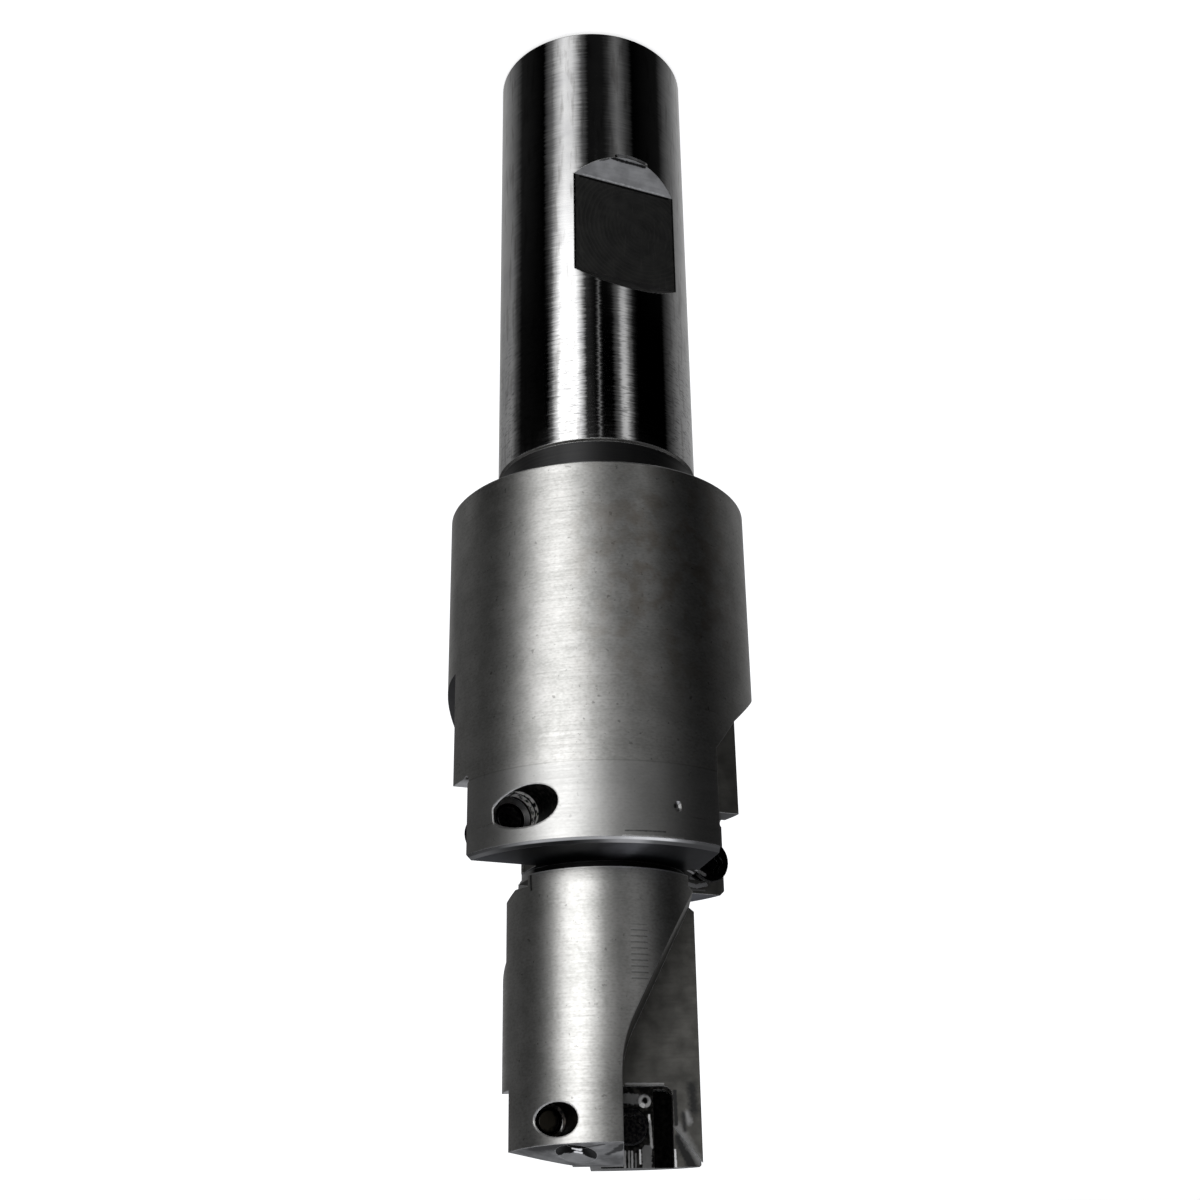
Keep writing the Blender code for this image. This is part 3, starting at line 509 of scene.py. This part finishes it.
def satin_steel(name, marks, holes, stained, tone_height=None):
    """The satin body: fine turning streaks, clouds, brown stains, painted light and shade marks, and wider lightened
    rims round the screw holes: painted highlight halos with rubbed wear.
    """
    material, tree, output = new_material(name)
    streaks = noise(tree, 1.0, 4.0, (160.0, 160.0, 7500.0))
    fine = noise(tree, 1.0, 3.0, (3000.0, 3000.0, 5600.0))
    cloud = noise(tree, 420.0, 5.0)
    specks = noise(tree, 1900.0, 2.0)
    tone = ramp(tree, cloud, [(0.32, (0.47, 0.47, 0.455)), (0.66, (0.62, 0.615, 0.60))])
    tone = mix(tree, times(tree, spread(tree, streaks, 0.42, 0.72), 0.25), tone, (0.40, 0.395, 0.38))
    tone = mix(tree, times(tree, spread(tree, fine, 0.50, 0.72), 0.3), tone, (0.76, 0.76, 0.75))
    tone = mix(tree, times(tree, spread(tree, fine, 0.48, 0.30), 0.35), tone, (0.32, 0.315, 0.30))
    tone = mix(tree, times(tree, spread(tree, specks, 0.69, 0.74), 0.5), tone, (0.14, 0.135, 0.13))
    if stained:
        patch = times(tree, near(tree, azimuth(tree), 26.0, 12.0, 26.0), near(tree, height(tree), 0.0655, 0.005, 0.009))
        spots = spread(tree, noise(tree, 520.0, 5.0), 0.48, 0.62)
        tone = mix(tree, times(tree, patch, spots, 0.42), tone, (0.30, 0.235, 0.17))
    if tone_height:
        past = spread(tree, height(tree), tone_height, tone_height + 0.15 * MM)
        tone = mix(tree, times(tree, past, 0.5), tone, (0.58, 0.58, 0.575))
        line = near(tree, height(tree), tone_height, 0.03 * MM, 0.05 * MM)
        tone = mix(tree, times(tree, line, 0.35), tone, (0.25, 0.25, 0.24))
    tone = marked(tree, tone, marks)
    # Lightened edges grow wider round the screw holes: painted highlight halos, with rubbed wear
    edge = 0.12
    for seat, lean, _, exit_r in holes:
        rim = spread(tree, hole_distance(tree, seat, lean), exit_r / MM + 0.1, exit_r / MM + 0.6, 0.3, 0.0)
        edge = math_node(tree, "MAXIMUM", edge, rim)
    roughness = spread(tree, streaks, 0.25, 0.75, 0.27, 0.37)
    grain = mix(tree, 0.5, streaks, fine)
    if stained:
        dent = near(tree, distance_to(tree, *NICK), 0.0, 0.04, 0.30)
        grain = math_node(tree, "SUBTRACT", grain, times(tree, dent, 22.0))
    finish(tree, output, tone, roughness, grain, 0.006, radial_normal(tree), edge=edge)
    return material


def satin_pilot(holes):
    """The pilot: as the collar, with painted highlight and shade by azimuth, painted shade that narrows the highlight
    towards the tip, a painted highlight along its top rim, and a ladder of faint ticks down one side.
    """
    material = satin_steel("satin_pilot", PILOT_NOTCH_SHADE, holes, False)
    tree = material.node_tree
    shader = next(item for item in tree.nodes if item.type == "BSDF_PRINCIPLED")
    colour = shader.inputs["Base Color"].links[0].from_socket
    # Painted highlight and shade by azimuth, multiplied into the colour
    colour = mix(tree, 1.0, colour, light_by_azimuth(tree, PILOT_PAINTED_LIGHT), "MULTIPLY")
    # Painted shade that narrows the pilot's highlight towards the tip
    tip_shade = times(tree, spread(tree, height(tree), 103.0 * MM, 109.0 * MM), near(tree, azimuth(tree), 2.0, 8.0, 9.0), 0.32)
    colour = mix(tree, tip_shade, colour, (0.0, 0.0, 0.0))
    # Painted highlight along the pilot's top rim
    rim = times(tree, near(tree, height(tree), 91.02 * MM, 0.08 * MM, 0.1 * MM), near(tree, azimuth(tree), 20.0, 22.0, 8.0))
    colour = mix(tree, rim, colour, (1.0, 1.0, 0.98))
    rise = math_node(tree, "FRACT", math_node(tree, "DIVIDE", height(tree), TICK_PITCH))
    span = near(tree, height(tree), TICKS_Z, TICKS_HALF, 0.2 * MM)
    side = near(tree, azimuth(tree), 20.0, 4.6, 0.6)
    for place, tone, share in ((0.35, 0.95, 0.5), (0.62, 0.08, 0.4)):
        tick = times(tree, near(tree, rise, place, 0.07, 0.09), span, side, share)
        colour = mix(tree, tick, colour, (tone, tone, tone))
    tree.links.new(colour, shader.inputs["Base Color"])
    return material


def milled_flat():
    """The clamping flat: dark, with the arcs that the end mill left."""
    material, tree, output = new_material("milled_flat")
    away = distance_to(tree, FLAT_SWIRL, FLAT_SWIRL)
    cloud = noise(tree, 700.0, 4.0)
    waver = math_node(tree, "MULTIPLY", noise(tree, 500.0, 2.0), 6.0)
    arcs = math_node(tree, "SINE", math_node(tree, "ADD", math_node(tree, "MULTIPLY", away, 13.0), waver))
    scratch = noise(tree, 1.0, 3.0, (3000.0, 3000.0, 300.0))
    tone = ramp(tree, cloud, [(0.3, (0.115, 0.115, 0.115)), (0.7, (0.175, 0.175, 0.17))])
    tone = mix(tree, times(tree, spread(tree, arcs, 0.3, 1.0), spread(tree, away, 3.5, 5.5), 0.3), tone, (0.24, 0.24, 0.23))
    tone = mix(tree, times(tree, spread(tree, scratch, 0.62, 0.7), 0.2), tone, (0.35, 0.35, 0.34))
    tone = marked(tree, tone, FLAT_EDGE_SHADE)
    finish(tree, output, tone, 0.4, mix(tree, 0.5, arcs, scratch), 0.003, edge=0.05)
    return material


def milled(name, dark, light, roughness, pitch, edge=0.1, tint=(1.0, 1.0, 1.0), painted_tones=None, marks=(),
           glancing=1.0):
    """A milled surface with cutter lines pitch apart, clouded between two greys and given painted light and shade round
    the axis by painted_tones.
    """
    material, tree, output = new_material(name)
    lines = noise(tree, 1.0, 3.0, (500.0, 500.0, 1.0 / (pitch * MM)))
    cloud = noise(tree, 600.0, 5.0)
    first = tuple(dark * channel for channel in tint)
    last = tuple(light * channel for channel in tint)
    tone = ramp(tree, cloud, [(0.34, first), (0.64, last)])
    tone = mix(tree, times(tree, spread(tree, lines, 0.45, 0.75), 0.4), tone, first)
    if painted_tones:
        tone = mix(tree, 1.0, tone, light_by_azimuth(tree, painted_tones), "MULTIPLY")
    tone = marked(tree, tone, marks)
    # Edge colour for the painted edge highlight and wear, dim where painted_tones are laid
    worn = (0.8, 0.8, 0.79) if not painted_tones else (0.2, 0.2, 0.2)
    finish(tree, output, tone, roughness, lines, 0.01, edge=edge, worn=worn, glancing=glancing)
    return material


def step_edge():
    """The chamfer round the step: a painted highlight by azimuth on its outer part, painted shade next to the step's
    face.
    """
    material = milled("step_edge", 0.85, 1.0, 0.32, 0.1, painted_tones=EDGE_PAINTED_LIGHT)
    tree = material.node_tree
    shader = next(item for item in tree.nodes if item.type == "BSDF_PRINCIPLED")
    colour = shader.inputs["Base Color"].links[0].from_socket
    inner = spread(tree, height(tree), EDGE_LIT_Z, EDGE_LIT_Z + 0.06 * MM)
    tree.links.new(mix(tree, inner, colour, light_by_azimuth(tree, STEP_PAINTED_LIGHT)), shader.inputs["Base Color"])
    return material


def shaded_oily_recess(name, dark, light, roughness, marks=()):
    """A recess painted near black as shade, with oily residue and small painted glints."""
    material, tree, output = new_material(name)
    spots = noise(tree, 2600.0, 5.0)
    tone = ramp(tree, spots, [(0.45, (dark, dark, dark * 0.95)), (0.68, (light, light * 0.95, light * 0.88))])
    tone = marked(tree, tone, marks)
    finish(tree, output, tone, roughness, spots, 0.03, edge=0.06, worn=(0.25, 0.25, 0.24))
    return material


def screw_bore(holes):
    """The screw holes' walls: painted near black as shade, with a bright band where the step screws' threads begin,
    worn metal with a painted highlight, and a painted shade line below it.
    """
    material, tree, output = new_material("dark_bore")
    spots = noise(tree, 2600.0, 5.0)
    threads = noise(tree, 1.0, 2.0, (2200.0, 2200.0, 2200.0))
    # Walls painted near black as shade
    tone = ramp(tree, spots, [(0.45, (0.010, 0.010, 0.010)), (0.68, (0.07, 0.062, 0.055))])
    roughness = 0.4
    for seat, lean, _, _ in holes[:2]:
        arm = vector_node(tree, "SUBTRACT", position(tree), tuple(seat))
        depth = node(tree, "ShaderNodeVectorMath", {0: arm, 1: tuple(-lean)}, operation="DOT_PRODUCT").outputs["Value"]
        close = near(tree, distance_to(tree, tuple(seat / MM), tuple((seat - 8.0 * MM * lean) / MM)), 0.0, 2.4, 0.2)
        worn = near(tree, depth, BAND_DEPTH, BAND_HALF, 0.12 * MM)
        gap = near(tree, depth, BAND_DEPTH + 0.1 * MM, 0.06 * MM, 0.06 * MM)
        band = times(tree, worn, close, spread(tree, threads, 0.35, 0.5))
        # Bright band: worn thread with a painted highlight
        tone = mix(tree, band, tone, (1.0, 0.99, 0.97))
        roughness = math_node(tree, "ADD", roughness, times(tree, band, 0.4))
        # Painted shade line just below the band
        tone = mix(tree, times(tree, gap, close), tone, (0.02, 0.02, 0.02))
    tone = marked(tree, tone, BORE_GLINT)
    finish(tree, output, tone, roughness, spots, 0.03, edge=0.06, worn=(0.25, 0.25, 0.24))
    return material


def screw_steel():
    """Black-oxide clamp screws, their edges lightened as a painted highlight with rubbed wear, and a painted glint on
    one head.
    """
    material, tree, output = new_material("black_oxide")
    spots = noise(tree, 3500.0, 4.0)
    tone = ramp(tree, spots, [(0.42, (0.002, 0.002, 0.003)), (0.68, (0.020, 0.019, 0.018))])
    tone = marked(tree, tone, SCREW_MARKS)
    finish(tree, output, tone, 0.3, spots, 0.012, edge=0.05, worn=(0.16, 0.16, 0.16))
    return material


def screw_axes():
    """Every clamp screw's seat point, direction out of its seat, thread radius and exit bore radius."""
    axes = []
    for angle, seat, outward, rise, thread_r, exit_r in SCREW_SEATS:
        turn = Matrix.Rotation(math.radians(angle), 4, "Z")
        lean = Vector((math.tan(math.radians(outward)), 1.0, math.tan(math.radians(rise)))).normalized()
        axes.append((turn @ Vector(seat), turn.to_3x3() @ lean, thread_r, exit_r))
    return axes


def bore_kind(centre, axes):
    """Whether a face lies in a clamp screw's hole, and on which part of it."""
    for place, (seat, lean, thread_r, exit_r) in enumerate(axes):
        arm = centre - seat
        depth = arm.dot(lean)
        across = (arm - depth * lean).length
        if depth > -0.2 * MM or across > exit_r + 0.04 * MM:
            continue
        if place < 2 and thread_r + 0.12 * MM < across < exit_r - 0.04 * MM:
            return "bore_ring"
        return "bore"
    return None


def turned_kind(radius, place):
    """The kind of a face turned about the tool's axis."""
    if radius > BODY_R - 0.2 * MM:
        return "collar"
    if place > STEP_Z - 8.0 * MM:
        return "pilot" if radius > PILOT_R - 0.2 * MM else "root"
    return "shank" if place < SHANK_END_Z else "neck"


def level_kind(centre, up):
    """The kind of a face that looks along the tool's axis."""
    if centre.z > TIP_Z - 2.2 * MM:
        return "point"
    if up > 0 and abs(centre.z - STEP_Z) < 0.05 * MM:
        return "step_face"
    if centre.z < 0.3 * MM or abs(centre.z - SHOULDER_Z) < 0.05 * MM:
        return "shoulder"
    return "root"


def surface_of(face, mesh, axes):
    """Which kind of surface a face of the tool body belongs to."""
    centre = face.center
    normal = face.normal
    in_bore = bore_kind(centre, axes)
    if in_bore:
        return in_bore
    radius = max(math.hypot(mesh.vertices[index].co.x, mesh.vertices[index].co.y) for index in face.vertices)
    if radius < 3.0 * MM and centre.z < SHOULDER_Z:
        return "bore"
    flat = Vector((math.cos(FLAT_ANGLE), math.sin(FLAT_ANGLE), 0.0))
    if abs(centre.z - FLAT_CENTRE_Z) < FLAT_HALF_LENGTH + FLAT_RUN_OUT and centre.dot(flat) > 0:
        if normal.dot(flat) > 0.999 and abs(centre.dot(flat) - FLAT_DISTANCE) < 0.05 * MM:
            return "flat"
        if abs(normal.z) > 0.3:
            return "flat_slope"
    outward = Vector((centre.x, centre.y, 0.0)).normalized()
    aside = math.hypot(centre.x - COOLANT_MOUTH[0], centre.y - COOLANT_MOUTH[1])
    if centre.z > COOLANT_LOW_Z and aside < COOLANT_MOUTH_R and normal.z < 0.93 and normal.dot(outward) < 0.93:
        return "mouth"
    if abs(normal.z) < 0.05 and normal.dot(outward) > 0.985:
        return turned_kind(radius, centre.z)
    if abs(normal.z) > 0.85:
        return level_kind(centre, normal.z)
    if 0.5 < abs(normal.z) < 0.85 and normal.dot(outward) > 0.5 and radius > BODY_R - 0.6 * MM:
        return "edge"
    if 0.5 < abs(normal.z) < 0.85 and normal.dot(outward) > 0.5 and centre.z < STEP_Z + 2.0 * MM and centre.z > STEP_Z:
        return "pilot"
    if centre.z > POCKET_CLOSED_Z - 0.1 * MM and POCKET_RIGHT_X - 0.1 * MM < centre.x < 1.0 * MM:
        if centre.y > POCKET_FLOOR_Y + 0.1 * MM:
            return "groove"
        if centre.y > POCKET_FLOOR_Y - 0.3 * MM:
            return "pocket"
    return "flute" if centre.z > STEP_Z + 0.2 * MM else "gullet"


def dress_body(body):
    """Gives every kind of surface of the tool body its own finish."""
    axes = screw_axes()
    materials = {
        "shank": ground_shank(),
        "neck": dull_neck(),
        "collar": satin_steel("satin_collar", COLLAR_LIGHT_AND_SHADE, axes[:2], True, SCREW_THREAD_Z),
        "pilot": satin_pilot(axes[2:]),
        "root": milled("turned_root", 0.6, 0.9, 0.4, 0.1, painted_tones=ROOT_PAINTED_LIGHT, marks=ROOT_MARKS),
        "flat": milled_flat(),
        "flat_slope": milled("flat_slope", 0.30, 0.46, 0.4, 0.2, 0.1, marks=SLOPE_LIGHT_AND_SHADE),
        "edge": step_edge(),
        "step_face": milled("step_face", 0.8, 1.0, 0.35, 0.15, 0.1, (0.95, 0.97, 1.06), STEP_PAINTED_LIGHT, STEP_LIGHT_AND_SHADE,
                            glancing=0.62),
        "shoulder": milled("shoulder", 0.3, 0.42, 0.4, 0.2),
        "point": milled("point_relief", 0.12, 0.34, 0.42, 0.15, 0.1, marks=POINT_MARKS),
        # The flute's dark greys are partly painted shade in the recess
        "flute": milled("flute_steel", 0.095, 0.17, 0.42, 0.25, 0.1, (1.02, 1.0, 0.93), marks=FLUTE_LIGHT_AND_SHADE),
        "gullet": milled("gullet_steel", 0.16, 0.28, 0.42, 0.3, 0.12, (1.02, 1.0, 0.93), marks=GULLET_LIGHT_AND_SHADE),
        # Pocket floor and groove are painted near black as shade
        "pocket": shaded_oily_recess("pocket_floor", 0.006, 0.035, 0.35, POCKET_HIGHLIGHTS),
        "groove": shaded_oily_recess("pocket_groove", 0.001, 0.005, 0.4, GROOVE_HIGHLIGHTS),
        "bore": screw_bore(axes),
        "bore_ring": milled("bore_ring", 0.03, 0.14, 0.35, 0.08, 0.05),
        "mouth": milled("coolant_mouth", 0.2, 0.32, 0.42, 0.15, 0.05, marks=MOUTH_SHADE_AND_GLINTS),
    }
    names = list(materials)
    body.data.materials.clear()
    for name in names:
        body.data.materials.append(materials[name])
    for face in body.data.polygons:
        face.material_index = names.index(surface_of(face, body.data, axes))
        face.use_smooth = True
    weld = body.modifiers.new("weld", "WELD")
    weld.merge_threshold = 0.001 * MM
    split = body.modifiers.new("edges", "EDGE_SPLIT")
    split.split_angle = math.radians(22.0)


def dress_screws(nodes):
    """Black clamp screws."""
    black = screw_steel()
    for name, item in nodes.items():
        if "screw" not in name:
            continue
        item.data.materials.clear()
        item.data.materials.append(black)
        for face in item.data.polygons:
            face.use_smooth = True
        weld = item.modifiers.new("weld", "WELD")
        weld.merge_threshold = 0.001 * MM
        split = item.modifiers.new("edges", "EDGE_SPLIT")
        split.split_angle = math.radians(30.0)


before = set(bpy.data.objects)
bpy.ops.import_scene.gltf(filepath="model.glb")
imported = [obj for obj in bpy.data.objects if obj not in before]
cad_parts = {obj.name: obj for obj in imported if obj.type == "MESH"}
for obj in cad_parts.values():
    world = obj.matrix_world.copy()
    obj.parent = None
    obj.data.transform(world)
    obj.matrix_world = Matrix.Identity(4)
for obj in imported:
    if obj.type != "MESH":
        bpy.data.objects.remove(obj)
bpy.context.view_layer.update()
bpy.context.scene.view_settings.view_transform = "Standard"
make_camera()
make_world()
make_floor()
dress_body(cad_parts["drill_body"])
dress_screws(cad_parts)
